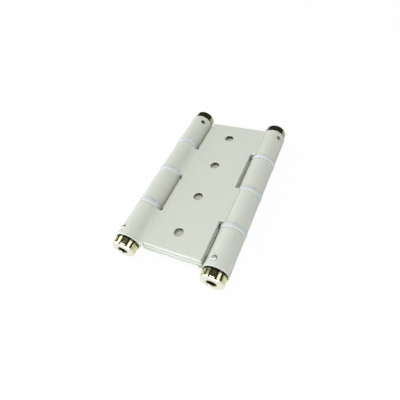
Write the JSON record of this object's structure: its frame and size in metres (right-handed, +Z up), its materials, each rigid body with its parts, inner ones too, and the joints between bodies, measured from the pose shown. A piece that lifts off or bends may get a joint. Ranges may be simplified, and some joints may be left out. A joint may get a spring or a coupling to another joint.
{
  "type": "double action hinge",
  "caption": "Double action spring hinge, folded: pierced outer leaves and a plain middle leaf, rolled into barrels with brass hex-socket end caps, lock pins and nylon washers.",
  "frame": {"origin": "under the centre of the folded hinge's box, level with the bottom of the lower barrel", "axes": "+Z up through the stacked leaves, from the door leaf to the frame leaf; +Y along the barrels towards the anchor caps; +X from the frame leaf's barrel to the door leaf's barrel"},
  "size_m": [0.0662, 0.1138, 0.0181],
  "materials": {
    "painted_steel": "satin off-white stove enamel",
    "brass": "polished",
    "bare_steel": "bright drawn",
    "nylon": "natural, slightly translucent"
  },
  "bodies": {
    "middle": {"middle_leaf": "painted_steel", "frame_pivot_tube": "bare_steel", "door_pivot_tube": "bare_steel", "frame_spring": "bare_steel", "door_spring": "bare_steel", "frame_anchor_cap": "brass", "door_anchor_cap": "brass", "frame_anchor_pin": "bare_steel", "door_anchor_pin": "bare_steel", "frame_far_washer": "nylon", "frame_centre_washer": "nylon", "frame_near_washer": "nylon", "door_far_washer": "nylon", "door_centre_washer": "nylon", "door_near_washer": "nylon"},
    "frame": {"frame_leaf": "painted_steel", "frame_tension_cap": "brass", "frame_tension_pin": "bare_steel"},
    "door": {"door_leaf": "painted_steel", "door_tension_cap": "brass", "door_tension_pin": "bare_steel"}
  },
  "joints": [
    {"name": "frame_swing", "type": "hinge", "parent": "middle", "child": "frame", "pos_m": [-0.0256, 0, 0.0106], "axis": [0, -1, 0], "range_deg": [0, 180], "stiffness_Nm_per_rad": 0.35, "springref_deg": -114.59, "deforming": ["frame_spring"]},
    {"name": "door_swing", "type": "hinge", "parent": "middle", "child": "door", "pos_m": [0.0256, 0, 0.0075], "axis": [0, -1, 0], "range_deg": [0, 180], "stiffness_Nm_per_rad": 0.35, "springref_deg": -114.59, "deforming": ["door_spring"]}
  ]
}
